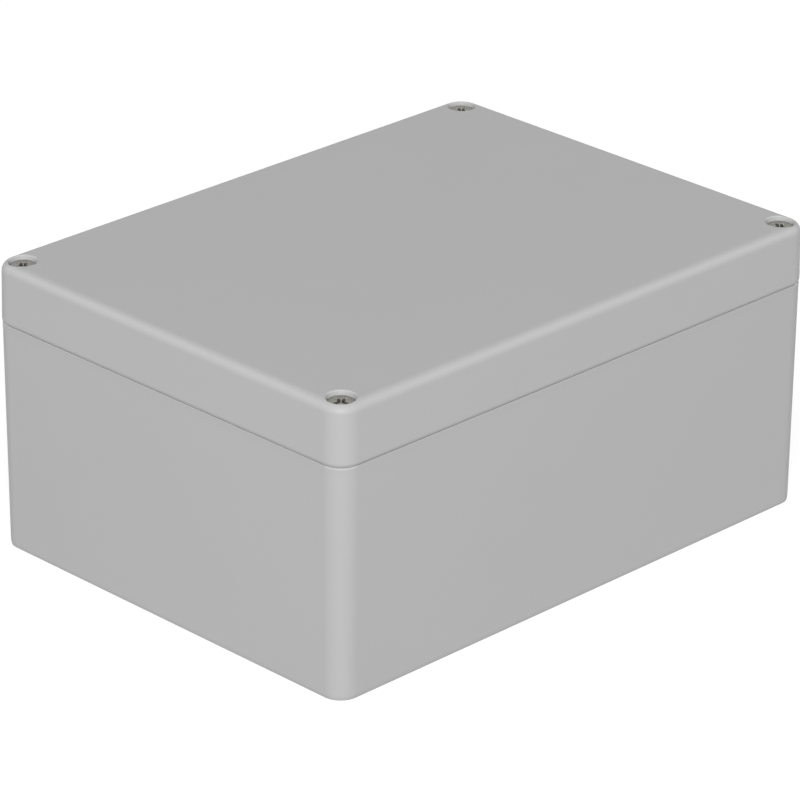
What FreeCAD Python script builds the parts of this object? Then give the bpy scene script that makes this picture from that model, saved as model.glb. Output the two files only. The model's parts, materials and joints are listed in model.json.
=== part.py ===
import FreeCAD, Part
import math
import os
import re
import Sketcher

# A two-part moulded enclosure. Four corner screws hold the lid down on a gasket over the deep base.
# The origin is the middle of the underside, X runs along the length, Y across it and Z up.
# Lengths are millimetres and angles are degrees.
# Every inset is measured from the outline of the lid at the parting plane.

SIZES = [
    # Outside form
    ("boxLength", 160.0, "length of the lid at the parting plane"),
    ("boxWidth", 120.0, "width of the lid at the parting plane"),
    ("baseHeight", 59.2, "underside to the top face of the base"),
    ("partingGap", 0.2, "gap that shows between base and lid"),
    ("lidHeight", 15.2, "lower edge to the top face of the lid"),
    ("cornerRadius", 5.8, "upright corners at the parting plane"),
    ("lidOverhang", 0.1, "how far the lid stands out over the base"),
    ("baseDraft", 0.5, "draft of the outside of the base"),
    ("lidDraft", 1.05, "draft of the outside of the lid"),
    ("lidTopRound", 2.4, "round along the top edge of the lid"),
    ("rimBevel", 0.25, "bevel on the two outer edges at the gap"),
    ("footBevel", 0.3, "bevel along the lower edge of the base"),
    # Shells
    ("floorThickness", 3.0, "floor of the base"),
    ("roofThickness", 3.0, "roof of the lid"),
    # Seal between the shells
    ("skirtThickness", 1.7, "wall of the lid outside the seal groove"),
    ("lipThickness", 1.3, "wall of the lid inside the seal groove"),
    ("tongueThickness", 1.6, "sealing tongue on the base"),
    ("tongueHeight", 4.0, "tongue above the top face of the base"),
    ("tonguePlay", 0.2, "room beside the tongue in the groove"),
    ("gasketHeight", 2.2, "gasket as the tongue presses it"),
    ("gasketPlay", 0.1, "room beside the gasket in the groove"),
    ("sealBend", 4.0, "bends of the seal that face outwards"),
    ("sealNotchBend", 3.0, "bends of the seal round the corner columns"),
    # Lid screws and their wells
    ("wellRadius", 3.5, "well that the screw head lies in"),
    ("wellWall", 2.0, "from the well to the outline of the lid"),
    ("headSunk", 1.1, "top of the head below the top face"),
    ("headHeight", 2.6, "height of the screw head"),
    ("headPlay", 0.25, "room round the head in its well"),
    ("threadRadius", 1.95, "crests of the screw thread"),
    ("threadPlay", 0.1, "room between the thread and the insert"),
    ("shankPlay", 0.3, "room round the screw in the lid"),
    ("tipLength", 0.7, "screw beyond the lower end of the insert"),
    ("tipRoom", 2.3, "free depth below the tip of the screw"),
    ("crossWidth", 1.1, "arms of the cross recess at its mouth"),
    ("crossSpan", 4.2, "cross recess from end to end"),
    ("crossDepth", 1.6, "depth of the cross recess"),
    ("crossDraft", 12.0, "slope of the walls of the cross recess"),
    # Washers pushed on to the threads, which keep the screws in the lid and bear it on the base
    ("washerPlay", 0.1, "room inside and outside the washer"),
    ("washerWidth", 1.6, "from the bore to the rim of the washer"),
    ("washerThickness", 1.4, "thickness of the washer, from the base to its recess in the lid"),
    # Threaded inserts in the base
    ("insertRadius", 3.0, "outside of the insert"),
    ("insertLength", 9.0, "length of the insert"),
    ("insertSunk", 0.3, "insert below the top face of the base"),
    ("insertPlay", 0.05, "room round the insert"),
    # Wall fixing holes in the corner columns
    ("tunnelRadius", 4.6, "tunnel that the fixing screw is dropped into"),
    ("tunnelFloor", 5.0, "floor that the head of the fixing screw bears on"),
    ("tunnelWall", 2.4, "from the tunnel to the long side"),
    ("boreSpacing", 2.9, "wall between the insert and the tunnel"),
    ("fixingRadius", 2.9, "hole for the fixing screw"),
    ("columnWall", 1.6, "from the tunnel to the tongue"),
    # Hollows over the tunnels in the lid
    ("hollowInset", 3.0, "from the outline to the hollow"),
    ("hollowWall", 1.5, "from the hollow to the well and to the groove"),
    # Board posts on the floor of the base
    ("postInsetX", 20.0, "from the short side to the post"),
    ("postInsetY", 25.0, "from the long side to the post"),
    ("postRadius", 3.5, "radius of the post"),
    ("postHeight", 6.0, "post above the floor"),
    ("postBoreRadius", 1.5, "pilot hole for a board screw"),
    ("postBoreDepth", 7.5, "depth of the pilot hole"),
]

# Sizes worked out from those above
GROOVE_HALF = "(tongueThickness / 2 + tonguePlay)"
SEAL_INSET = f"(skirtThickness + {GROOVE_HALF})"
FIXING_INSET_X = "(wellWall + wellRadius + insertRadius + boreSpacing + tunnelRadius)"
FIXING_INSET_Y = "(tunnelWall + tunnelRadius)"
NOTCH_X = f"({FIXING_INSET_X} + tunnelRadius + columnWall + tongueThickness / 2)"
NOTCH_Y = f"({FIXING_INSET_Y} + tunnelRadius + columnWall + tongueThickness / 2)"
LID_FOOT = "(baseHeight + partingGap)"
LID_TOP = "(baseHeight + partingGap + lidHeight)"
TONGUE_TOP = "(baseHeight + tongueHeight)"
GROOVE_TOP = "(baseHeight + tongueHeight + gasketHeight)"
SCREW_X = "(boxLength / 2 - wellWall - wellRadius)"
SCREW_Y = "(boxWidth / 2 - wellWall - wellRadius)"
HEAD_TOP = f"({LID_TOP} - headSunk)"
HEAD_SEAT = f"({LID_TOP} - headSunk - headHeight)"
HEAD_RADIUS = "(wellRadius - headPlay)"
SHANK_HOLE = "(threadRadius + shankPlay)"
WASHER_BORE = "(threadRadius + washerPlay)"
WASHER_RIM = f"({WASHER_BORE} + washerWidth)"
WASHER_TOP = "(baseHeight + washerThickness)"
RECESS_RADIUS = f"({WASHER_RIM} + washerPlay)"
INSERT_TOP = "(baseHeight - insertSunk)"
INSERT_FOOT = "(baseHeight - insertSunk - insertLength)"
SCREW_TIP = f"({INSERT_FOOT} - tipLength)"
FIXING_X = f"(boxLength / 2 - {FIXING_INSET_X})"
FIXING_Y = f"(boxWidth / 2 - {FIXING_INSET_Y})"

CORNERS = {"front_left": (-1, -1), "front_right": (1, -1), "rear_left": (-1, 1), "rear_right": (1, 1)}

doc = FreeCAD.newDocument("Enclosure")
sheet = doc.addObject("Spreadsheet::Sheet", "Sizes")
for row, (alias, number, note) in enumerate(SIZES, start=1):
    sheet.set(f"A{row}", note)
    sheet.set(f"B{row}", str(number))
    sheet.setAlias(f"B{row}", alias)
doc.recompute()
ALIASES = {alias for alias, number, note in SIZES}


def on_sheet(text):
    # Every name of a size in the text becomes a reference to its cell.
    return re.sub(r"[a-z]\w*", lambda m: "Sizes." + m[0] if m[0] in ALIASES else m[0], text)


def number_of(text):
    return float(sheet.evalExpression(on_sheet(text)))


def bind(target, prop, text):
    target.setExpression(prop, on_sheet(text))


def add_body(label):
    body = doc.addObject("PartDesign::Body", label)
    body.Label = label
    return body


def origin_plane(body, role):
    return next(plane for plane in body.Origin.OriginFeatures if plane.Role == role)


def add_sketch(body, name, role="XY_Plane", x="0", y="0", z="0"):
    # x, y and z shift the sketch in its own directions, z along its normal.
    sketch = body.newObject("Sketcher::SketchObject", name)
    sketch.AttachmentSupport = (origin_plane(body, role), [""])
    sketch.MapMode = "FlatFace"
    for axis, text in zip("xyz", (x, y, z)):
        bind(sketch, f"AttachmentOffset.Base.{axis}", text)
    return sketch


def add_upright_sketch(body, name, x, y):
    # The sketch stands in a plane along X, with its vertical axis on the line through (x, y).
    return add_sketch(body, name, "XZ_Plane", x=x, z=f"-({y})")


def add_constraints(sketch, rows):
    # Each row is a constraint with the size that drives it, or None. They are solved all at once.
    first = sketch.ConstraintCount
    sketch.addConstraint([constraint for constraint, size in rows])
    for index, (constraint, size) in enumerate(rows, start=first):
        if size is not None:
            bind(sketch, f"Constraints[{index}]", size)


def pinned(geometry, position, x, y):
    return [(Sketcher.Constraint("DistanceX", -1, 1, geometry, position, number_of(x)), x),
            (Sketcher.Constraint("DistanceY", -1, 1, geometry, position, number_of(y)), y)]


def draw_outline(sketch, corners):
    # A closed outline. Each corner is (x, y) or (x, y, radius) and is pinned to the sketch's origin,
    # a rounded one by the point where its two sides would meet.
    count = len(corners)
    points = [FreeCAD.Vector(number_of(corner[0]), number_of(corner[1]), 0) for corner in corners]
    radii = [number_of(corner[2]) if len(corner) > 2 else 0.0 for corner in corners]
    arrive, leave, centres, left_turns = [], [], [], []
    for i, point in enumerate(points):
        to_last = (points[i - 1] - point).normalize()
        to_next = (points[(i + 1) % count] - point).normalize()
        half_angle = to_last.getAngle(to_next) / 2
        reach = radii[i] / math.tan(half_angle)
        arrive.append(point + to_last * reach)
        leave.append(point + to_next * reach)
        centres.append(point + (to_last + to_next).normalize() * (radii[i] / math.sin(half_angle)))
        left_turns.append(to_last.cross(to_next).z < 0)
    sides = sketch.addGeometry([Part.LineSegment(leave[i], arrive[(i + 1) % count]) for i in range(count)])
    rows = []
    for i, corner in enumerate(corners):
        last_side, next_side = sides[i - 1], sides[i]
        if radii[i] == 0.0:
            rows.append((Sketcher.Constraint("Coincident", last_side, 2, next_side, 1), None))
            rows += pinned(next_side, 1, corner[0], corner[1])
            continue
        # A bend always runs anticlockwise, so on a right turn its ends change places.
        ends = (arrive[i], leave[i]) if left_turns[i] else (leave[i], arrive[i])
        angles = [math.atan2(end.y - centres[i].y, end.x - centres[i].x) for end in ends]
        if angles[1] < angles[0]:
            angles[1] += 2 * math.pi
        circle = Part.Circle(centres[i], FreeCAD.Vector(0, 0, 1), radii[i])
        bend = sketch.addGeometry(Part.ArcOfCircle(circle, *angles))
        apex = sketch.addGeometry(Part.Point(points[i]), True)
        arrive_end, leave_end = (1, 2) if left_turns[i] else (2, 1)
        rows += [(Sketcher.Constraint("Tangent", last_side, 2, bend, arrive_end), None),
                 (Sketcher.Constraint("Tangent", next_side, 1, bend, leave_end), None),
                 (Sketcher.Constraint("Radius", bend, radii[i]), corner[2]),
                 (Sketcher.Constraint("PointOnObject", apex, 1, last_side), None),
                 (Sketcher.Constraint("PointOnObject", apex, 1, next_side), None)]
        rows += pinned(apex, 1, corner[0], corner[1])
    add_constraints(sketch, rows)


def draw_circle(sketch, radius, x="0", y="0"):
    centre = FreeCAD.Vector(number_of(x), number_of(y), 0)
    circle = sketch.addGeometry(Part.Circle(centre, FreeCAD.Vector(0, 0, 1), number_of(radius)))
    rows = [(Sketcher.Constraint("Radius", circle, number_of(radius)), radius)]
    add_constraints(sketch, rows + pinned(circle, 3, x, y))


def rounded_rectangle(half_length, half_width, radius):
    return [(half_length, half_width, radius), (f"-{half_length}", half_width, radius),
            (f"-{half_length}", f"-{half_width}", radius), (half_length, f"-{half_width}", radius)]


def seal_outline(shift):
    # The line of the seal, shifted towards the middle of the box. It follows the walls and steps
    # inwards round each corner column, so that every screw hole stays outside it.
    side_x = f"(boxLength / 2 - {SEAL_INSET} - {shift})"
    side_y = f"(boxWidth / 2 - {SEAL_INSET} - {shift})"
    step_x = f"(boxLength / 2 - {NOTCH_X} - {shift})"
    step_y = f"(boxWidth / 2 - {NOTCH_Y} - {shift})"
    bend = f"(sealBend - {shift})"
    notch_bend = f"(sealNotchBend + {shift})"
    corners = []
    for sign_x, sign_y in ((1, 1), (-1, 1), (-1, -1), (1, -1)):
        step = [(side_x, step_y, bend), (step_x, step_y, notch_bend), (step_x, side_y, bend)]
        if sign_x * sign_y < 0:
            step.reverse()
        corners += [(f"{sign_x} * {x}", f"{sign_y} * {y}", radius) for x, y, radius in step]
    return corners


def pad(body, sketch, name, length, draft=None, down=False):
    feature = body.newObject("PartDesign::Pad", name)
    feature.Profile = sketch
    bind(feature, "Length", length)
    feature.Reversed = down
    if draft:
        bind(feature, "TaperAngle", f"-{draft}")
    doc.recompute()
    return feature


def pocket(body, sketch, name, depth, draft=None, up=False):
    feature = body.newObject("PartDesign::Pocket", name)
    feature.Profile = sketch
    bind(feature, "Length", depth)
    feature.Reversed = up
    if draft:
        bind(feature, "TaperAngle", f"-{draft}")
    doc.recompute()
    return feature


def turn(body, sketch, name, cut=False):
    # The profile is turned once round the sketch's vertical axis.
    feature = body.newObject("PartDesign::Groove" if cut else "PartDesign::Revolution", name)
    feature.Profile = sketch
    feature.ReferenceAxis = (sketch, ["V_Axis"])
    feature.Angle = 360
    doc.recompute()
    return feature


def soften_edges(body, name, kind, size, wanted):
    # The wanted edges get a Fillet of that radius or a Chamfer of that width.
    base = body.Tip
    names = [f"Edge{i}" for i, edge in enumerate(base.Shape.Edges, start=1) if wanted(edge)]
    feature = body.newObject(f"PartDesign::{kind}", name)
    feature.Base = (base, names)
    bind(feature, "Radius" if kind == "Fillet" else "Size", size)
    doc.recompute()
    return feature


def lies_at(height):
    level = number_of(height)

    def test(edge):
        box = edge.BoundBox
        return abs(box.ZMin - level) < 1e-4 and abs(box.ZMax - level) < 1e-4
    return test


def repeat_at_corners(body, name, features):
    # Mirrors the features across both upright middle planes, which gives all four corners.
    mirrors = []
    for role in ("YZ_Plane", "XZ_Plane"):
        mirror = doc.addObject("PartDesign::Mirrored", f"{name}_{role[:2]}")
        mirror.MirrorPlane = (origin_plane(body, role), [""])
        body.addObject(mirror)
        mirrors.append(mirror)
    feature = body.newObject("PartDesign::MultiTransform", name)
    feature.Originals = features
    feature.Transformations = mirrors
    body.Tip = feature
    doc.recompute()
    return feature


def make_base():
    body = add_body("base")
    outline = add_sketch(body, "base_outline", z="baseHeight")
    draw_outline(outline, rounded_rectangle("(boxLength / 2 - lidOverhang)", "(boxWidth / 2 - lidOverhang)",
                                            "(cornerRadius - lidOverhang)"))
    pad(body, outline, "base_block", "baseHeight", "baseDraft", down=True)
    soften_edges(body, "base_foot", "Chamfer", "footBevel", lies_at("0"))
    soften_edges(body, "base_rim", "Chamfer", "rimBevel", lies_at("baseHeight"))

    cavity = add_sketch(body, "base_cavity_outline", z="baseHeight")
    draw_outline(cavity, seal_outline("tongueThickness / 2"))
    pocket(body, cavity, "base_cavity", "baseHeight - floorThickness")

    tongue = add_sketch(body, "tongue_outline", z="baseHeight")
    draw_outline(tongue, seal_outline("-tongueThickness / 2"))
    draw_outline(tongue, seal_outline("tongueThickness / 2"))
    pad(body, tongue, "tongue", "tongueHeight")

    insert_bore = add_upright_sketch(body, "insert_bore_profile", SCREW_X, SCREW_Y)
    draw_outline(insert_bore, [("0", "baseHeight"), ("insertRadius + insertPlay", "baseHeight"),
                               ("insertRadius + insertPlay", f"{SCREW_TIP} - tipRoom"),
                               ("0", f"{SCREW_TIP} - tipRoom")])
    insert_seat = turn(body, insert_bore, "insert_bore", cut=True)

    tunnel = add_upright_sketch(body, "fixing_profile", FIXING_X, FIXING_Y)
    draw_outline(tunnel, [("0", "baseHeight"), ("tunnelRadius", "baseHeight"),
                          ("tunnelRadius", "tunnelFloor"), ("fixingRadius", "tunnelFloor"),
                          ("fixingRadius", "0"), ("0", "0")])
    fixing = turn(body, tunnel, "fixing_hole", cut=True)

    post = add_sketch(body, "post_outline", z="floorThickness")
    draw_circle(post, "postRadius", "boxLength / 2 - postInsetX", "boxWidth / 2 - postInsetY")
    board_post = pad(body, post, "board_post", "postHeight")
    pilot = add_sketch(body, "pilot_outline", z="floorThickness + postHeight")
    draw_circle(pilot, "postBoreRadius", "boxLength / 2 - postInsetX", "boxWidth / 2 - postInsetY")
    pilot_hole = pocket(body, pilot, "pilot_hole", "postBoreDepth")
    repeat_at_corners(body, "base_corners", [insert_seat, fixing, board_post, pilot_hole])
    return body


def make_lid():
    body = add_body("lid")
    outline = add_sketch(body, "lid_outline", z=LID_FOOT)
    draw_outline(outline, rounded_rectangle("(boxLength / 2)", "(boxWidth / 2)", "cornerRadius"))
    pad(body, outline, "lid_block", "lidHeight", "lidDraft")
    soften_edges(body, "lid_top_round", "Fillet", "lidTopRound", lies_at(LID_TOP))
    soften_edges(body, "lid_rim", "Chamfer", "rimBevel", lies_at(LID_FOOT))

    cavity = add_sketch(body, "lid_cavity_outline", z=LID_FOOT)
    draw_outline(cavity, seal_outline(f"({GROOVE_HALF} + lipThickness)"))
    pocket(body, cavity, "lid_cavity", "lidHeight - roofThickness", up=True)

    groove = add_sketch(body, "groove_outline", z=LID_FOOT)
    draw_outline(groove, seal_outline(f"-{GROOVE_HALF}"))
    draw_outline(groove, seal_outline(GROOVE_HALF))
    pocket(body, groove, "seal_groove", f"{GROOVE_TOP} - {LID_FOOT}", up=True)

    well = add_upright_sketch(body, "well_profile", SCREW_X, SCREW_Y)
    draw_outline(well, [("0", LID_TOP), ("wellRadius", LID_TOP), ("wellRadius", HEAD_SEAT),
                        (SHANK_HOLE, HEAD_SEAT), (SHANK_HOLE, WASHER_TOP), (RECESS_RADIUS, WASHER_TOP),
                        (RECESS_RADIUS, LID_FOOT), ("0", LID_FOOT)])
    screw_well = turn(body, well, "screw_well", cut=True)

    hollow = add_sketch(body, "hollow_outline", z=LID_FOOT)
    near_x = "(boxLength / 2 - wellWall - 2 * wellRadius - hollowWall)"
    far_x = f"(boxLength / 2 - {NOTCH_X} + {GROOVE_HALF} + hollowWall)"
    near_y = "(boxWidth / 2 - hollowInset)"
    far_y = f"(boxWidth / 2 - {NOTCH_Y} + {GROOVE_HALF} + hollowWall)"
    draw_outline(hollow, [(near_x, near_y), (far_x, near_y), (far_x, far_y), (near_x, far_y)])
    corner_hollow = pocket(body, hollow, "corner_hollow", "lidHeight - roofThickness", up=True)
    repeat_at_corners(body, "lid_corners", [screw_well, corner_hollow])
    return body


def make_gasket():
    body = add_body("gasket")
    ring = add_sketch(body, "gasket_outline", z=TONGUE_TOP)
    draw_outline(ring, seal_outline(f"(-{GROOVE_HALF} + gasketPlay)"))
    draw_outline(ring, seal_outline(f"({GROOVE_HALF} - gasketPlay)"))
    pad(body, ring, "gasket_ring", "gasketHeight")
    return body


def make_screws():
    body = add_body("lid_screws")
    profile = add_upright_sketch(body, "screw_profile", SCREW_X, SCREW_Y)
    draw_outline(profile, [("0", HEAD_TOP), (HEAD_RADIUS, HEAD_TOP), (HEAD_RADIUS, HEAD_SEAT),
                           ("threadRadius", HEAD_SEAT), ("threadRadius", SCREW_TIP), ("0", SCREW_TIP)])
    blank = turn(body, profile, "screw_blank")
    cross = add_sketch(body, "cross_outline", x=SCREW_X, y=SCREW_Y, z=HEAD_TOP)
    arm, end = "crossWidth / 2", "crossSpan / 2"
    quarter = [(end, f"-{arm}"), (end, arm), (arm, arm)]
    outline = []
    for _ in range(4):
        outline += quarter
        quarter = [(f"-({y})", x) for x, y in quarter]
    draw_outline(cross, outline)
    recess = pocket(body, cross, "cross_recess", "crossDepth", "crossDraft")
    repeat_at_corners(body, "screw_corners", [blank, recess])
    return body


def make_washer(corner):
    sign_x, sign_y = CORNERS[corner]
    body = add_body(f"washer_{corner}")
    profile = add_upright_sketch(body, f"washer_profile_{corner}", f"{sign_x} * {SCREW_X}", f"{sign_y} * {SCREW_Y}")
    draw_outline(profile, [(WASHER_BORE, "baseHeight"), (WASHER_RIM, "baseHeight"),
                           (WASHER_RIM, WASHER_TOP), (WASHER_BORE, WASHER_TOP)])
    turn(body, profile, f"washer_ring_{corner}")
    return body


def make_insert(corner):
    sign_x, sign_y = CORNERS[corner]
    body = add_body(f"insert_{corner}")
    profile = add_upright_sketch(body, f"insert_profile_{corner}", f"{sign_x} * {SCREW_X}", f"{sign_y} * {SCREW_Y}")
    bore = "threadRadius + threadPlay"
    draw_outline(profile, [(bore, INSERT_FOOT), ("insertRadius", INSERT_FOOT),
                           ("insertRadius", INSERT_TOP), (bore, INSERT_TOP)])
    turn(body, profile, f"insert_bush_{corner}")
    return body


bodies = [make_base(), make_lid(), make_gasket(), make_screws()]
for corner in CORNERS:
    bodies.append(make_washer(corner))
    bodies.append(make_insert(corner))
doc.recompute()

# Nothing is written unless every object is whole
for item in doc.Objects:
    if "Invalid" in item.State or "Error" in item.State:
        raise RuntimeError(f"{item.Label} failed: {item.State}")
for body in bodies:
    if body.Shape.isNull() or not body.Shape.isValid():
        raise RuntimeError(f"{body.Label} has no valid shape")

os.makedirs("parts", exist_ok=True)
for body in bodies:
    body.Shape.exportStep(f"parts/{body.Label}.step")
    print(body.Label, len(body.Shape.Solids), "solids", round(body.Shape.Volume, 1), "mm3")
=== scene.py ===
import json
import math
import bmesh
import bpy
import numpy as np
from mathutils import Matrix, Vector
from mathutils.geometry import delaunay_2d_cdt


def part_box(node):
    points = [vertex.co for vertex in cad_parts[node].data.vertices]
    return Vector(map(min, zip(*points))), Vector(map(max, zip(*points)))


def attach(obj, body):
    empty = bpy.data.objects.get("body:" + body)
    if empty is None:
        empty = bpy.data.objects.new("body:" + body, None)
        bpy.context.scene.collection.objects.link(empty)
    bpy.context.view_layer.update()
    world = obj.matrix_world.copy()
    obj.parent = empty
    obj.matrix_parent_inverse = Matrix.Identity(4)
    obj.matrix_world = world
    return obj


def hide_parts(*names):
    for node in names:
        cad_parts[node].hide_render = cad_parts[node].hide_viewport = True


# A closed two-part enclosure of grey polycarbonate: deep base, lid, gasket, four corner screws.
# Lengths are metres, angles degrees unless a name says otherwise.
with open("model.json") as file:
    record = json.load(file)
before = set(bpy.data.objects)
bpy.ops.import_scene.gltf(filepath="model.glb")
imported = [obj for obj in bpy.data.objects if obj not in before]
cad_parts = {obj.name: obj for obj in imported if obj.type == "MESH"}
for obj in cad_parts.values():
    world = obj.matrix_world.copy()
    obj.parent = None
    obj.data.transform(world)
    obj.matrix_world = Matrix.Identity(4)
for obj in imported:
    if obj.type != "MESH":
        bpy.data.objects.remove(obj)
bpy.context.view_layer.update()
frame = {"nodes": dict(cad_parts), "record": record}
print("frame loaded:", len(frame["nodes"]), "nodes")

mm = 0.001
tiny = 1e-9                   # keeps divisions away from zero and joins equal points of a triangulation
mergeWithin = 2e-6            # doubles closer than this become one point
lead = 2.0 * mm               # level ends of a profile, cut off once its corners are round
white = (1, 1, 1, 1)
corners = {"front_left": (-1, -1), "front_right": (1, -1),
           "rear_left": (-1, 1), "rear_right": (1, 1)}


# Shapes from arrays

def roundCorners(points, radii, steps, closed=True):
    # Every corner of a polyline becomes an arc. With unit directions u before and v after a corner that
    # turns by a, the arc starts r tan(a/2) before it and runs as start + r sin(at) u + r (1 - cos(at)) w,
    # t from 0 to 1, where w is square to u on the side of v. Leading axes of the arrays are kept.
    points = np.asarray(points, float)
    radii = np.broadcast_to(np.asarray(radii, float), points.shape[:-1])
    u = points - np.roll(points, 1, axis=-2)
    v = np.roll(points, -1, axis=-2) - points
    u /= np.maximum(np.linalg.norm(u, axis=-1, keepdims=True), tiny)
    v /= np.maximum(np.linalg.norm(v, axis=-1, keepdims=True), tiny)
    cosine = np.clip((u * v).sum(-1), -1, 1)[..., None]
    angle = np.arccos(cosine)
    w = (v - u * cosine) / np.maximum(np.sin(angle), tiny)
    r = radii[..., None]
    start = (points - u * r * np.tan(angle / 2))[..., None, :]
    sweep = angle[..., None, :] * np.linspace(0, 1, steps + 1)[:, None]
    r, u, w = r[..., None, :], u[..., None, :], w[..., None, :]
    arcs = start + r * np.sin(sweep) * u + r * (1 - np.cos(sweep)) * w
    if closed:
        return arcs.reshape(*points.shape[:-2], -1, 2)
    bends = arcs[..., 1:-1, :, :].reshape(*points.shape[:-2], -1, 2)
    return np.concatenate([points[..., :1, :], bends, points[..., -1:, :]], axis=-2)


def boxPath(halfX, halfY, radius, shift, steps):
    # A rounded rectangle moved inwards by shift: half sides and corner radius all lose the shift.
    shift = np.asarray(shift, float)
    x, y = halfX - shift, halfY - shift
    outline = np.stack([np.stack([x, y], -1), np.stack([-x, y], -1),
                        np.stack([-x, -y], -1), np.stack([x, -y], -1)], axis=-2)
    return roundCorners(outline, (radius - shift)[..., None], steps)


def sealPath(line, shift, steps):
    # The line of the seal moved inwards by shift. At each corner of the box it steps round the corner
    # column: bend, notch bend, bend. Outward bends lose the shift, notch bends gain it.
    shift = np.asarray(shift, float)
    sideX, sideY = line["sideX"] - shift, line["sideY"] - shift
    stepX, stepY = line["stepX"] - shift, line["stepY"] - shift
    bend, notch = line["bend"] - shift, line["notchBend"] + shift
    outline, radii = [], []
    for signX, signY in ((1, 1), (-1, 1), (-1, -1), (1, -1)):
        step = [(sideX, stepY, bend), (stepX, stepY, notch), (stepX, sideY, bend)]
        for x, y, radius in step if signX * signY > 0 else step[::-1]:
            outline.append(np.stack([signX * x, signY * y], -1))
            radii.append(radius)
    return roundCorners(np.stack(outline, axis=-2), np.stack(radii, axis=-1), steps)


def gridFaces(rows, columns):
    # Quads (i, j), (i, j+1), (i+1, j+1), (i+1, j) of a grid whose columns close into rings.
    i = np.arange(rows - 1)[:, None]
    j = np.arange(columns)[None, :]
    k = (j + 1) % columns
    return np.stack([i * columns + j, i * columns + k, (i + 1) * columns + k, (i + 1) * columns + j],
                    axis=-1).reshape(-1, 4)


def circleOf(sectors):
    # Points (cos a, sin a) at equal angles a.
    angle = np.arange(sectors) * 2 * math.pi / sectors
    return np.stack([np.cos(angle), np.sin(angle)], -1)


def ringOf(radius, centre, sectors):
    # Points centre + radius (cos a, sin a).
    return np.asarray(centre) + radius * circleOf(sectors)


def carried(path, profile):
    # A profile of (inward shift, height) rows carried along a closed path: one ring for each row.
    profile = np.asarray(profile, float)
    rings = path(profile[:, 0])
    heights = np.broadcast_to(profile[:, 1, None, None], rings.shape[:-1] + (1,))
    points = np.concatenate([rings, heights], axis=-1)
    return points.reshape(-1, 3), gridFaces(*points.shape[:2])


def turned(profile, centre, sectors):
    # A profile of (radius, height) rows turned round an upright axis:
    # x = cx + r cos(a), y = cy + r sin(a), z = height.
    def rings(radius):
        return np.asarray(centre) + radius[:, None, None] * circleOf(sectors)
    return carried(rings, profile)


def inside(points, loop):
    # Even-odd rule: counts the sides of the loop that a ray along +X from each point crosses.
    a, b = loop, np.roll(loop, -1, axis=0)
    x, y = points[:, 0, None], points[:, 1, None]
    spans = (a[:, 1] > y) != (b[:, 1] > y)
    rise = np.where(b[:, 1] == a[:, 1], 1, b[:, 1] - a[:, 1])
    crossing = a[:, 0] + (y - a[:, 1]) / rise * (b[:, 0] - a[:, 0])
    return (spans & (x < crossing)).sum(axis=1) % 2 == 1


def filled(outer, holes, height, guides=()):
    # The region between an outer loop and its holes, as triangles. Its height is a number or a function
    # of the points, and guide points in it follow a curved height. A triangle stays when its centre is
    # inside the outer loop and outside each hole.
    loops = [np.asarray(loop, float) for loop in [outer, *holes]]
    starts = np.cumsum([0] + [len(loop) for loop in loops])
    flat = np.concatenate([*loops, *guides])
    edges = np.concatenate([np.stack([a + np.arange(b - a), a + (np.arange(b - a) + 1) % (b - a)], -1)
                            for a, b in zip(starts[:-1], starts[1:])])
    points, _, triangles, *_ = delaunay_2d_cdt([Vector(p) for p in flat.tolist()], edges.tolist(),
                                               [], 0, tiny)
    points = np.array([tuple(p) for p in points])
    triangles = np.array(triangles)
    middle = points[triangles].mean(axis=1)
    keep = inside(middle, loops[0])
    for hole in loops[1:]:
        keep &= ~inside(middle, hole)
    heights = height(points) if callable(height) else np.full(len(points), height)
    return np.column_stack([points, heights]), triangles[keep]


def makePiece(name, patches, material, nodes, keepSharp=60):
    # Patches of (points, faces) become one mesh. Doubles are merged, faces turned outwards, and the
    # normals weighted by area, so that a flat stays flat up to the round beside it.
    starts = np.cumsum([0] + [len(points) for points, _ in patches])
    points = np.concatenate([p for p, _ in patches])
    faces = [face for (_, part), start in zip(patches, starts) for face in (part + start).tolist()]
    mesh = bpy.data.meshes.new(name)
    mesh.from_pydata(points, [], faces)
    work = bmesh.new()
    work.from_mesh(mesh)
    bmesh.ops.remove_doubles(work, verts=work.verts, dist=mergeWithin)
    bmesh.ops.recalc_face_normals(work, faces=work.faces)
    loose = sum(not edge.is_manifold for edge in work.edges)
    work.to_mesh(mesh)
    work.free()
    mesh.shade_smooth()
    mesh.set_sharp_from_angle(angle=math.radians(keepSharp))
    mesh.materials.append(material)
    piece = bpy.data.objects.new(name, mesh)
    bpy.context.scene.collection.objects.link(piece)
    weighted = piece.modifiers.new("evenShading", "WEIGHTED_NORMAL")
    weighted.keep_sharp = True
    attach(piece, "root")
    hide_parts(*nodes)
    print(f"{name}: {len(mesh.polygons)} faces, {loose} open edges")


# Finishes

def newMaterial(name, preview):
    # A material and its one Principled shader, with the plain colour that the viewport shows.
    material = bpy.data.materials.new(name)
    material.use_nodes = True
    material.diffuse_color = (*preview, 1)
    tree = material.node_tree
    return material, tree, tree.nodes["Principled BSDF"]


def addNode(tree, kind, inputs=None, **settings):
    # One node with its settings; inputs that are sockets are linked, others are set as values.
    node = tree.nodes.new(kind)
    for key, value in settings.items():
        setattr(node, key, value)
    for key, value in (inputs or {}).items():
        if isinstance(value, bpy.types.NodeSocket):
            tree.links.new(value, node.inputs[key])
        else:
            node.inputs[key].default_value = value
    return node


def between(tree, factor, low, high):
    # low + factor (high - low).
    inputs = {"Value": factor, "To Min": low, "To Max": high}
    return addNode(tree, "ShaderNodeMapRange", inputs).outputs["Result"]


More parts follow.
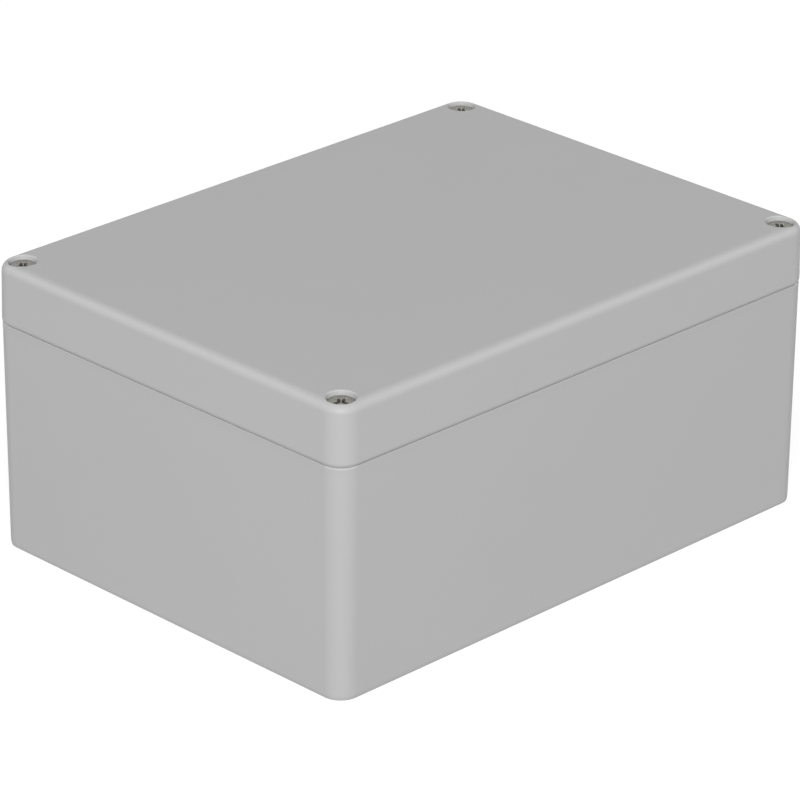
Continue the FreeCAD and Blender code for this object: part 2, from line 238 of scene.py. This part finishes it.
def tinted(tree, factor, darker, lighter):
    # The colour darker + factor (lighter - darker). A colour mix has its colours on sockets 6 and 7 and
    # gives its result on socket 2.
    inputs = {"Factor": factor, 6: (*darker, 1), 7: (*lighter, 1)}
    return addNode(tree, "ShaderNodeMix", inputs, data_type="RGBA").outputs[2]


def objectNoise(tree, scale, detail=2.0, roughness=0.5):
    # Noise from 0 to 1 over the object's own coordinates times scale.
    place = addNode(tree, "ShaderNodeTexCoord").outputs["Object"]
    inputs = {"Vector": place, "Scale": scale, "Detail": detail, "Roughness": roughness}
    return addNode(tree, "ShaderNodeTexNoise", inputs).outputs["Fac"]


def bumped(tree, height, distance, under=None):
    # The normal, or the one under it, tilted by the slope of height times distance.
    inputs = {"Height": height, "Distance": distance, "Strength": 1.0}
    if under is not None:
        inputs["Normal"] = under
    return addNode(tree, "ShaderNodeBump", inputs).outputs["Normal"]


def moved(tree, operation, vector, by):
    # The vector less another or times it, as the operation says.
    return addNode(tree, "ShaderNodeVectorMath", {0: vector, 1: by}, operation=operation).outputs["Vector"]


plasticLook = {
    "darker": (0.470, 0.470, 0.470),
    "lighter": (0.480, 0.480, 0.480),
    "cloud": 60.0,            # slow drift of the colour, per metre
    "grain": 3200.0,          # satin grain of the mould, per metre
    "grainHeight": 6e-6,
    "wave": 28.0,             # slow unevenness of a moulded wall, per metre
    "waveHeight": 5e-5,
    "smoothest": 0.47,
    "roughest": 0.56,
    "specular": 0.32,
    "refraction": 1.58,       # index
}


def makePlastic(name, look):
    # Three noises over the piece: the cloud mixes the colour, the grain sets the roughness and a fine
    # height, and the wave bends the normal under it.
    material, tree, shader = newMaterial(name, look["lighter"])
    cloud = objectNoise(tree, look["cloud"], detail=3.0)
    grain = objectNoise(tree, look["grain"], roughness=0.6)
    wave = objectNoise(tree, look["wave"], detail=1.0)
    colour = tinted(tree, cloud, look["darker"], look["lighter"])
    rough = between(tree, grain, look["smoothest"], look["roughest"])
    uneven = bumped(tree, wave, look["waveHeight"])
    normal = bumped(tree, grain, look["grainHeight"], uneven)
    tree.links.new(colour, shader.inputs["Base Color"])
    tree.links.new(rough, shader.inputs["Roughness"])
    tree.links.new(normal, shader.inputs["Normal"])
    shader.inputs["Specular IOR Level"].default_value = look["specular"]
    shader.inputs["IOR"].default_value = look["refraction"]
    return material


steelLook = {
    "darker": (0.20, 0.195, 0.180),
    "lighter": (0.33, 0.322, 0.300),
    "rings": 9000.0,          # turned lines per metre of radius
    "ringHeight": 4e-6,
    "specks": 5200.0,         # per metre
    "smoothest": 0.38,
    "roughest": 0.52,
}


def makeTurnedMetal(name, look, axis):
    # Fine rings round the nearest of four upright axes at (+-x, +-y): with the fold (|px| - x, |py| - y),
    # the distance from it is the length of the fold.
    material, tree, shader = newMaterial(name, look["lighter"])
    place = addNode(tree, "ShaderNodeTexCoord").outputs["Object"]
    fold = addNode(tree, "ShaderNodeVectorMath", {0: place}, operation="ABSOLUTE").outputs["Vector"]
    fold = moved(tree, "SUBTRACT", fold, (*axis, 0))
    fold = moved(tree, "MULTIPLY", fold, (1, 1, 0))
    distance = addNode(tree, "ShaderNodeVectorMath", {0: fold}, operation="LENGTH").outputs["Value"]
    inputs = {"W": distance, "Scale": look["rings"], "Detail": 2.0}
    rings = addNode(tree, "ShaderNodeTexNoise", inputs, noise_dimensions="1D").outputs["Fac"]
    specks = objectNoise(tree, look["specks"], detail=3.0, roughness=0.6)
    colour = tinted(tree, specks, look["darker"], look["lighter"])
    rough = between(tree, rings, look["smoothest"], look["roughest"])
    tree.links.new(colour, shader.inputs["Base Color"])
    tree.links.new(rough, shader.inputs["Roughness"])
    tree.links.new(bumped(tree, rings, look["ringHeight"]), shader.inputs["Normal"])
    shader.inputs["Metallic"].default_value = 1.0
    return material


brassLook = {
    "darker": (0.50, 0.35, 0.13),
    "lighter": (0.64, 0.47, 0.20),
    "rings": 7000.0,
    "ringHeight": 4e-6,
    "specks": 2400.0,
    "smoothest": 0.28,
    "roughest": 0.42,
}

rubberLook = {
    "darker": (0.018, 0.018, 0.019),
    "lighter": (0.030, 0.030, 0.031),
    "cloud": 220.0,
    "grain": 2600.0,
    "grainHeight": 2e-5,
    "wave": 90.0,
    "waveHeight": 3e-5,
    "smoothest": 0.66,
    "roughest": 0.84,
    "specular": 0.35,
    "refraction": 1.58,
}

nylonLook = {
    "darker": (0.66, 0.65, 0.60),
    "lighter": (0.74, 0.73, 0.69),
    "cloud": 260.0,
    "grain": 2200.0,
    "grainHeight": 8e-6,
    "wave": 160.0,
    "waveHeight": 2e-5,
    "smoothest": 0.38,
    "roughest": 0.50,
    "specular": 0.5,
    "refraction": 1.58,
}

plastic = makePlastic("satinPolycarbonate", plasticLook)
rubber = makePlastic("sealRubber", rubberLook)
nylon = makePlastic("washerNylon", nylonLook)


# Base and lid

housing = {
    "cornerRadius": 5.8 * mm,
    "lidOverhang": 0.1 * mm,
    "baseDraft": 0.5,
    "lidDraft": 1.05,
    "lidTopRound": 2.4 * mm,
    "lidRimRound": 0.08 * mm,
    "lidUndercut": (0.20 * mm, 0.6 * mm, 1.2 * mm),   # skirt's last stretch: inwards, up, round above it
    "baseRimRound": 0.1 * mm,
    "cornerRimRound": 0.55 * mm,                      # the same rim round the four corners
    "baseFlare": (0.07 * mm, 1.8 * mm, 12.0 * mm),    # below the base's rim: inwards, down, round
    "footRound": 0.1 * mm,
    "footTaper": (0.16 * mm, 0.9 * mm, 3.0 * mm),     # above the foot: outwards, up, round
    "floor": 3.0 * mm,
    "roof": 3.0 * mm,
    "insideRound": 0.6 * mm,
    "skirt": 1.7 * mm,
    "lip": 1.3 * mm,
    "tongue": 1.6 * mm,
    "tongueHeight": 4.0 * mm,
    "tonguePlay": 0.2 * mm,
    "gasketHeight": 2.2 * mm,
    "edgeRound": 0.15 * mm,
    "cornerSteps": 16,
    "bendSteps": 8,
    "roundSteps": 8,
    "topSteps": 12,
    "topCut": 1.25 * mm,      # from here inwards the top follows its height, round the wells too
    "sectors": 64,
}

well = {
    "inset": 5.5 * mm,        # of the screw's axis from the lid's sides
    "radius": 3.5 * mm,
    "mouthRound": 0.4 * mm,
    "headSunk": 1.1 * mm,
    "headHeight": 2.6 * mm,
    "shankHole": 2.25 * mm,
    "washerPlay": 0.1 * mm,
    "collars": (0.12 * mm, 0.35 * mm),                # rings round the mouth that carry the top's height
}

inner = {
    "tunnelRadius": 4.6 * mm,
    "tunnelFloor": 5.0 * mm,
    "columnWall": 1.6 * mm,
    "insertRadius": 3.05 * mm,
    "boreDepth": 12.3 * mm,
    "postRadius": 3.5 * mm,
    "postHeight": 6.0 * mm,
    "postBoreDepth": 7.5 * mm,
    "hollowInset": 3.0 * mm,
    "hollowWall": 1.5 * mm,
    "hollowRound": 0.6 * mm,
    "hollowSteps": 4,
}

lidLow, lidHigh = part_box("lid")
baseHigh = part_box("base")[1]
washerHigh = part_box("washer_front_left")[1]
halfX, halfY = lidHigh.x, lidHigh.y
lidFoot, lidTop = lidLow.z, lidHigh.z
baseTop = baseHigh.z - housing["tongueHeight"]
screwX, screwY = halfX - well["inset"], halfY - well["inset"]
screwPlaces = {corner: (x * screwX, y * screwY) for corner, (x, y) in corners.items()}
headTop = lidTop - well["headSunk"]
headSeat = headTop - well["headHeight"]
steel = makeTurnedMetal("turnedStainless", steelLook, (screwX, screwY))
brass = makeTurnedMetal("turnedBrass", brassLook, (screwX, screwY))
print("finishes made")


def holesOf(mountName):
    # Half the spacing of a four-hole pattern in X and Y, and the radius of its holes.
    dims = next(mount["dims"] for mount in frame["record"]["mounts"] if mount["name"] == mountName)
    return [dims[key] * mm * share for key, share in
            (("spacing_x_mm", 0.5), ("spacing_y_mm", 0.5), ("hole_r_mm", 1.0))]


fixingX, fixingY, fixingRadius = holesOf("wall_fixing")
postX, postY, postBore = holesOf("board_posts")
grooveHalf = housing["tongue"] / 2 + housing["tonguePlay"]
sealInset = housing["skirt"] + grooveHalf
notchReach = inner["tunnelRadius"] + inner["columnWall"] + housing["tongue"] / 2
seal = {
    "sideX": halfX - sealInset,
    "sideY": halfY - sealInset,
    "stepX": fixingX - notchReach,
    "stepY": fixingY - notchReach,
    "bend": 4.0 * mm,
    "notchBend": 3.0 * mm,
}


def lidOutline(shift):
    # The lid's rounded rectangle moved inwards by shift.
    return boxPath(halfX, halfY, housing["cornerRadius"], shift, housing["cornerSteps"])


def baseOutline(shift):
    # The base's outline is the lid's, moved inwards by the overhang as well.
    return lidOutline(np.asarray(shift) + housing["lidOverhang"])


def sealLine(shift):
    # The seal's line moved inwards by shift.
    return sealPath(seal, shift, housing["bendSteps"])


def topHeight(points):
    # Height of the lid's top: with s the distance inwards from the outline,
    # top - R + sqrt(R^2 - (c - s)^2) up to the inner end c of the round with radius R, then flat.
    q = np.abs(points) - (np.array([halfX, halfY]) - housing["cornerRadius"])
    shift = housing["cornerRadius"] - np.hypot(*np.maximum(q, 0).T) - np.minimum(q.max(axis=1), 0)
    lean, r = math.radians(housing["lidDraft"]), housing["lidTopRound"]
    end = (lidTop - lidFoot) * math.tan(lean) + r * math.tan(math.pi / 4 - lean / 2)
    return lidTop - r + np.sqrt(r ** 2 - np.clip(end - shift, 0, r) ** 2)


def softProfile(rows, steps=None):
    # Rows of (shift, height, radius): the profile with its corners rounded; the ends stay as they are.
    rows = np.asarray(rows, float)
    return roundCorners(rows[:, :2], rows[:, 2], steps or housing["roundSteps"], closed=False)


def openProfile(rows, steps=None):
    # The same without its first and last rows, which only give the outermost arcs their direction.
    return softProfile(rows, steps)[1:-1]


def bored(rows, centre, bottom=None):
    # A profile turned round a centre and closed by a disc at the height bottom, if it is given. Gives
    # the patches and the rings at the profile's two ends, which are holes in the surfaces there.
    sectors = housing["sectors"]
    profile = openProfile(rows)
    first, last = (ringOf(profile[end, 0], centre, sectors) for end in (0, -1))
    patches = [turned(profile, centre, sectors)]
    if bottom is not None:
        patches.append(filled(last, [], bottom))
    return patches, first, last


def makeLid():
    # The outline and the seal's line carry the skirt's profiles, the wells are turned, and flats with
    # holes fill what is left.
    h = housing
    edge = h["edgeRound"]
    lean = math.tan(math.radians(h["lidDraft"]))
    topShift = (lidTop - lidFoot) * lean
    roofUnder = lidTop - h["roof"]
    cut, rise, ease = h["lidUndercut"]
    outside = openProfile([(lead, lidFoot, 0), (cut, lidFoot, h["lidRimRound"]),
                           (rise * lean, lidFoot + rise, ease), (topShift, lidTop, h["lidTopRound"]),
                           (topShift + lead, lidTop, 0)], h["topSteps"])
    above = outside[outside[:, 0] > h["topCut"]][:, 0]
    outside = outside[outside[:, 0] <= h["topCut"]]
    patches = [carried(lidOutline, outside)]

    # Well, shank hole and washer recess are one turned profile, and its mouth follows the top's height
    radius, shank = well["radius"], well["shankHole"]
    recess = washerHigh.x + screwX + well["washerPlay"]
    bore = openProfile([(radius + lead, lidTop, 0), (radius, lidTop, well["mouthRound"]),
                        (radius, headSeat, edge), (shank, headSeat, edge), (shank, washerHigh.z, edge),
                        (recess, washerHigh.z, edge), (recess, lidFoot, edge),
                        (recess + lead, lidFoot, 0)])
    centres = list(screwPlaces.values())
    mouths = [ringOf(bore[0, 0], centre, h["sectors"]) for centre in centres]
    for centre, mouth in zip(centres, mouths):
        points, faces = turned(bore, centre, h["sectors"])
        rim = points.reshape(len(bore), h["sectors"], 3)[:h["roundSteps"] + 1]
        rim[..., 2] += topHeight(mouth) - lidTop
        patches.append((points, faces))

    # Rings of the top's round and the collars guide the curved part of the top
    guides = lidOutline(above).reshape(-1, 2)
    away = np.min([np.hypot(*(guides - centre).T) for centre in centres], axis=0)
    guides = guides[away > bore[0, 0] + well["collars"][0]]
    collars = np.concatenate([ringOf(bore[0, 0] + gap, centre, h["sectors"])
                              for gap in well["collars"] for centre in centres])
    patches.append(filled(lidOutline(outside[-1:, 0])[0], mouths, topHeight, [guides, collars]))

    # Seal groove, lip, cavity and roof
    grooveTop = baseHigh.z + h["gasketHeight"]
    lipShift = grooveHalf + h["lip"]
    within = openProfile([(-grooveHalf - lead, lidFoot, 0), (-grooveHalf, lidFoot, edge),
                          (-grooveHalf, grooveTop, edge), (grooveHalf, grooveTop, edge),
                          (grooveHalf, lidFoot, edge), (lipShift, lidFoot, edge),
                          (lipShift, roofUnder, h["insideRound"]), (lipShift + lead, roofUnder, 0)])
    patches.append(carried(sealLine, within))
    patches.append(filled(sealLine(within[-1:, 0])[0], [], roofUnder))

    # Hollows over the wall fixing tunnels
    nearX = screwX - radius - inner["hollowWall"]
    farX = seal["stepX"] + grooveHalf + inner["hollowWall"]
    nearY = halfY - inner["hollowInset"]
    farY = seal["stepY"] + grooveHalf + inner["hollowWall"]
    hollow = openProfile([(-lead, lidFoot, 0), (0, lidFoot, edge), (0, roofUnder, edge),
                          (lead, roofUnder, 0)])
    openings = [ringOf(bore[-1, 0], centre, h["sectors"]) for centre in centres]
    for x, y in corners.values():
        middle = np.array([x * (nearX + farX) / 2, y * (nearY + farY) / 2])

        def hollowPath(shift, middle=middle):
            # A rounded rectangle about the hollow's own middle.
            return middle + boxPath((nearX - farX) / 2, (nearY - farY) / 2, inner["hollowRound"],
                                    shift, inner["hollowSteps"])
        patches.append(carried(hollowPath, hollow))
        patches.append(filled(hollowPath(hollow[-1:, 0])[0], [], roofUnder))
        openings.append(hollowPath(hollow[:1, 0])[0])
    patches.append(filled(lidOutline(outside[:1, 0])[0], [sealLine(within[:1, 0])[0], *openings],
                          lidFoot))
    makePiece("lid_shell", patches, plastic, ["lid"])


def makeBase():
    # The outline carries the drafted wall, the seal's line the tongue and the inner wall, the bores are
    # turned, and flats with holes fill what is left.
    h = housing
    edge = h["edgeRound"]
    lean = math.tan(math.radians(h["baseDraft"]))
    cut, drop, ease = h["baseFlare"]
    taper, rise, blend = h["footTaper"]
    foot = (baseTop - rise) * lean
    outside, cornered = (openProfile([(foot + taper + lead, 0, 0), (foot + taper, 0, h["footRound"]),
                                      (foot, rise, blend), (cut, baseTop - drop, ease),
                                      (0, baseTop, rim), (lead, baseTop, 0)])
                         for rim in (h["baseRimRound"], h["cornerRimRound"]))

    # Round the corners the rim is softer: with t from 0 to 1 along each arc, points move from the first
    # profile towards the second by min(1, 2 sin(pi t)).
    points, faces = carried(baseOutline, outside)
    along = np.linspace(0, 1, h["cornerSteps"] + 1)
    share = np.tile(np.minimum(1, 2 * np.sin(math.pi * along)), len(corners) * len(outside))
    points += share[:, None] * (carried(baseOutline, cornered)[0] - points)
    rimRing = points.reshape(len(outside), -1, 3)[-1, :, :2]
    patches = [(points, faces)]

    # Sealing tongue, inner wall and floor
    half = h["tongue"] / 2
    within = openProfile([(-half - lead, baseTop, 0), (-half, baseTop, edge),
                          (-half, baseHigh.z, edge), (half, baseHigh.z, edge),
                          (half, h["floor"], h["insideRound"]), (half + lead, h["floor"], 0)])
    patches.append(carried(sealLine, within))

    # At each corner the bore for the insert and the tip of the screw, the tunnel and hole for the wall
    # fixing screw, and the board post with its pilot hole
    insert, boreEnd = inner["insertRadius"], baseTop - inner["boreDepth"]
    boreRows = [(insert + lead, baseTop, 0), (insert, baseTop, edge), (insert, boreEnd, edge),
                (0, boreEnd, 0)]
    tunnel, ledge = inner["tunnelRadius"], inner["tunnelFloor"]
    tunnelRows = [(tunnel + lead, baseTop, 0), (tunnel, baseTop, edge), (tunnel, ledge, edge),
                  (fixingRadius, ledge, edge), (fixingRadius, 0, edge), (fixingRadius + lead, 0, 0)]
    post, postTop = inner["postRadius"], h["floor"] + inner["postHeight"]
    pilotEnd = postTop - inner["postBoreDepth"]
    postRows = [(post + lead, h["floor"], 0), (post, h["floor"], h["insideRound"]),
                (post, postTop, edge), (postBore, postTop, edge), (postBore, pilotEnd, edge),
                (0, pilotEnd, 0)]
    landHoles, floorHoles, footHoles = [], [], []
    for x, y in corners.values():
        bore, boreMouth, _ = bored(boreRows, (x * screwX, y * screwY), boreEnd)
        pit, pitMouth, pitFoot = bored(tunnelRows, (x * fixingX, y * fixingY))
        stand, standFoot, _ = bored(postRows, (x * postX, y * postY), pilotEnd)
        patches += bore + pit + stand
        landHoles += [boreMouth, pitMouth]
        footHoles.append(pitFoot)
        floorHoles.append(standFoot)
    patches.append(filled(rimRing, [sealLine(within[:1, 0])[0], *landHoles], baseTop))
    patches.append(filled(sealLine(within[-1:, 0])[0], floorHoles, h["floor"]))
    patches.append(filled(baseOutline(outside[:1, 0])[0], footHoles, 0))
    makePiece("base_shell", patches, plastic, ["base"])


makeBase()
makeLid()


# Lid screws

screw = {
    "headRadius": 3.25 * mm,
    "headRound": 0.4 * mm,
    "seatRound": 0.1 * mm,
    "neck": 0.3 * mm,         # plain stretch under the head
    "neckRound": 0.05 * mm,
    "threadRadius": 1.95 * mm,
    "threadDepth": 0.40 * mm,
    "pitch": 0.7 * mm,
    "threadSectors": 32,
    "rowsPerTurn": 6,
    "joinShare": 0.999,       # the thread's ring lies this far out in the neck's and is merged with it
    "crossWidth": 1.1 * mm,
    "crossSpan": 4.2 * mm,
    "crossDepth": 1.6 * mm,
    "crossDraft": 12.0,
    "draftShare": 0.8,        # the share of the draft that the cross's walls come in by at its foot
    "crossRound": 0.12 * mm,
    "crossMouthRound": 0.08 * mm,
    "crossFootRound": 0.06 * mm,
    "crossSteps": 3,
    "recessSteps": 4,
    "sectors": 64,
    "keepSharp": 40,
}


def crossPath(centre, shift):
    # A cross with arms along X and Y: twelve corners, all walls moved inwards by shift.
    shift = np.asarray(shift, float)
    arm, end = screw["crossWidth"] / 2 - shift, screw["crossSpan"] / 2 - shift
    quarter = [(end, -arm), (end, arm), (arm, arm)]
    outline = []
    for _ in range(4):
        outline += [np.stack(np.broadcast_arrays(x, y), -1) for x, y in quarter]
        quarter = [(-y, x) for x, y in quarter]
    return np.asarray(centre) + roundCorners(np.stack(outline, axis=-2), screw["crossRound"],
                                             screw["crossSteps"])


def threadSurface(centre, top, bottom):
    # A right-hand thread as one surface: r = crest - depth * |2 frac(z / pitch - a / 2 pi) - 1|,
    # fading to the core at both ends, over angle a and height z.
    pitch, crest, depth = screw["pitch"], screw["threadRadius"], screw["threadDepth"]
    z = np.linspace(top, bottom, int((top - bottom) / pitch * screw["rowsPerTurn"]))[:, None]
    a = np.arange(screw["threadSectors"])[None, :] * 2 * math.pi / screw["threadSectors"]
    wave = np.abs(2 * np.mod(z / pitch - a / (2 * math.pi), 1) - 1)
    ends = np.clip(np.minimum(top - z, z - bottom) / pitch, 0, 1)
    r = (crest - depth) + depth * (1 - wave) * ends
    points = np.stack([centre[0] + r * np.cos(a), centre[1] + r * np.sin(a), z + 0 * a], -1)
    return points.reshape(-1, 3), gridFaces(len(z), screw["threadSectors"])


def makeScrew(corner):
    # Head and neck are one turned profile, the cross is carried along its own path, and the thread
    # runs from the neck to the tip.
    s = screw
    centre = screwPlaces[corner]
    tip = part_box("lid_screws")[0].z
    core = s["threadRadius"] - s["threadDepth"]
    neckEnd = headSeat - s["neck"]
    crossFoot = headTop - s["crossDepth"]
    taper = s["crossDepth"] * math.tan(math.radians(s["crossDraft"])) * s["draftShare"]
    head = softProfile([(s["headRadius"] - lead, headTop, 0), (s["headRadius"], headTop, s["headRound"]),
                        (s["headRadius"], headSeat, s["seatRound"]), (core, headSeat, s["neckRound"]),
                        (core, neckEnd, 0)])[1:]
    recess = openProfile([(-lead, headTop, 0), (0, headTop, s["crossMouthRound"]),
                          (taper, crossFoot, s["crossFootRound"]), (lead, crossFoot, 0)],
                         s["recessSteps"])
    mouth, foot = (crossPath(centre, recess[end, 0]) for end in (0, -1))
    threadRing = ringOf(core * s["joinShare"], centre, s["threadSectors"])
    patches = [
        turned(head, centre, s["sectors"]),
        filled(ringOf(core, centre, s["sectors"]), [threadRing], neckEnd),
        carried(lambda shift: crossPath(centre, shift), recess),
        filled(foot, [], crossFoot),
        filled(ringOf(head[0, 0], centre, s["sectors"]), [mouth], headTop),
        threadSurface(centre, neckEnd, tip),
        filled(ringOf(core, centre, s["threadSectors"]), [], tip),
    ]
    makePiece(f"lid_screw_{corner}", patches, steel, ["lid_screws"], s["keepSharp"])


for corner in corners:
    makeScrew(corner)


# Gasket, inserts and washers keep their solids' shapes

for name, node in frame["nodes"].items():
    finish = brass if name.startswith("insert") else nylon if name.startswith("washer") else rubber
    if not node.hide_render:
        node.data.materials.clear()
        node.data.materials.append(finish)
print("pieces made")


# Ground, light and camera

def shownRays(tree):
    # 1 for a ray from the camera, off a gloss or through glass, else 0: the largest of the three flags.
    rays = addNode(tree, "ShaderNodeLightPath").outputs
    shown = rays["Is Camera Ray"]
    for flag in ("Is Glossy Ray", "Is Transmission Ray"):
        shown = addNode(tree, "ShaderNodeMath", {0: shown, 1: rays[flag]}, operation="MAXIMUM").outputs[0]
    return shown


def mixed(tree, factor, first, second):
    # The shader first + factor (second - first).
    inputs = {0: factor, 1: first.outputs[0], 2: second.outputs[0]}
    return addNode(tree, "ShaderNodeMixShader", inputs).outputs[0]


ground = {
    "half": 3.0,
    "below": 0.05 * mm,       # keeps the ground clear of the underside
    "shown": (0.35, 0.35, 0.35),
    "lift": 0.79,
    "bounce": (0.2, 0.2, 0.2),
}


def makeGround(look):
    # A square of 2 x half. The camera sees it diffuse with a lift to white, and the light that it gives
    # back to the box comes from a duller diffuse.
    mesh = bpy.data.meshes.new("floor")
    half, z = look["half"], -look["below"]
    square = [(-half, -half, z), (half, -half, z), (half, half, z), (-half, half, z)]
    mesh.from_pydata(square, [], [(0, 1, 2, 3)])
    floor = bpy.data.objects.new("floor", mesh)
    bpy.context.scene.collection.objects.link(floor)
    material = bpy.data.materials.new("paleGround")
    material.use_nodes = True
    tree = material.node_tree
    tree.nodes.clear()
    dull = addNode(tree, "ShaderNodeBsdfDiffuse", {"Color": (*look["bounce"], 1)})
    pale = addNode(tree, "ShaderNodeBsdfDiffuse", {"Color": (*look["shown"], 1)})
    lift = addNode(tree, "ShaderNodeEmission", {"Strength": look["lift"]})
    lifted = addNode(tree, "ShaderNodeAddShader", {0: pale.outputs[0], 1: lift.outputs[0]})
    surface = mixed(tree, shownRays(tree), dull, lifted)
    output = addNode(tree, "ShaderNodeOutputMaterial", {"Surface": surface})
    output.is_active_output = True
    mesh.materials.append(material)


light = {
    "ambient": 0.15,
    "spread": 0.46,           # width of a lamp as a share of its distance
    "distance": 3.0,
    # azimuth, elevation and power of each lamp
    "lamps": {
        "key": (-46.0, 23.9, 88.6),
        "left": (-150.0, 29.6, 22.8),
        "right": (60.0, 29.6, 23.5),
    },
}


def direction(azimuth, elevation):
    # From the object outwards: (sin a cos e, -cos a cos e, sin e).
    a, e = math.radians(azimuth), math.radians(elevation)
    return Vector((math.sin(a) * math.cos(e), -math.cos(a) * math.cos(e), math.sin(e)))


def makeLights(look):
    # A dim even surround that shows as white, and disc lamps at middle + distance x direction, each
    # facing back along its direction.
    world = bpy.data.worlds.new("studio")
    bpy.context.scene.world = world
    world.use_nodes = True
    tree = world.node_tree
    tree.nodes.clear()
    soft = addNode(tree, "ShaderNodeBackground", {"Color": white, "Strength": look["ambient"]})
    shown = addNode(tree, "ShaderNodeBackground", {"Color": white, "Strength": 1.0})
    surface = mixed(tree, shownRays(tree), soft, shown)
    addNode(tree, "ShaderNodeOutputWorld", {"Surface": surface})

    middle = Vector((0, 0, lidTop / 2))
    for name, (azimuth, elevation, power) in look["lamps"].items():
        data = bpy.data.lights.new(name, "AREA")
        data.shape = "DISK"
        data.size = look["distance"] * look["spread"]
        data.energy = power
        lamp = bpy.data.objects.new(name, data)
        bpy.context.scene.collection.objects.link(lamp)
        away = direction(azimuth, elevation)
        lamp.location = middle + away * look["distance"]
        lamp.rotation_euler = away.to_track_quat("Z", "Y").to_euler()


view = {
    "focalPixels": 4815.85,
    "imagePixels": 800,
    "sensorWidth": 36.0,
    "azimuth": -44.93617,
    "elevation": 24.42263,
    "roll": 0.42341,
    "distance": 1167.519 * mm,
    "aside": (-1.22243 * mm, -24.50211 * mm),
    "aimHeight": 59.3 * mm,
    "nearest": 0.05,          # what the camera shows starts and ends at these distances
    "farthest": 50.0,
}


def makeCamera(look):
    # The camera looks along -back; right and up are turned by the roll about it, and it is moved aside
    # along them.
    back = direction(look["azimuth"], look["elevation"])
    a, r = math.radians(look["azimuth"]), math.radians(look["roll"])
    level = Vector((math.cos(a), math.sin(a), 0))
    upright = back.cross(level)
    right = level * math.cos(r) + upright * math.sin(r)
    up = upright * math.cos(r) - level * math.sin(r)
    place = back * look["distance"] + right * look["aside"][0] + up * look["aside"][1]
    place += Vector((0, 0, look["aimHeight"]))
    data = bpy.data.cameras.new("camera")
    data.sensor_width = look["sensorWidth"]
    data.lens = look["focalPixels"] * look["sensorWidth"] / look["imagePixels"]
    data.clip_start = look["nearest"]
    data.clip_end = look["farthest"]
    camera = bpy.data.objects.new("camera", data)
    camera.matrix_world = Matrix.Translation(place) @ Matrix((right, up, back)).transposed().to_4x4()
    bpy.context.scene.collection.objects.link(camera)
    bpy.context.scene.camera = camera


makeGround(ground)
makeLights(light)
makeCamera(view)
bpy.context.scene.view_settings.view_transform = "Standard"
print("studio made")
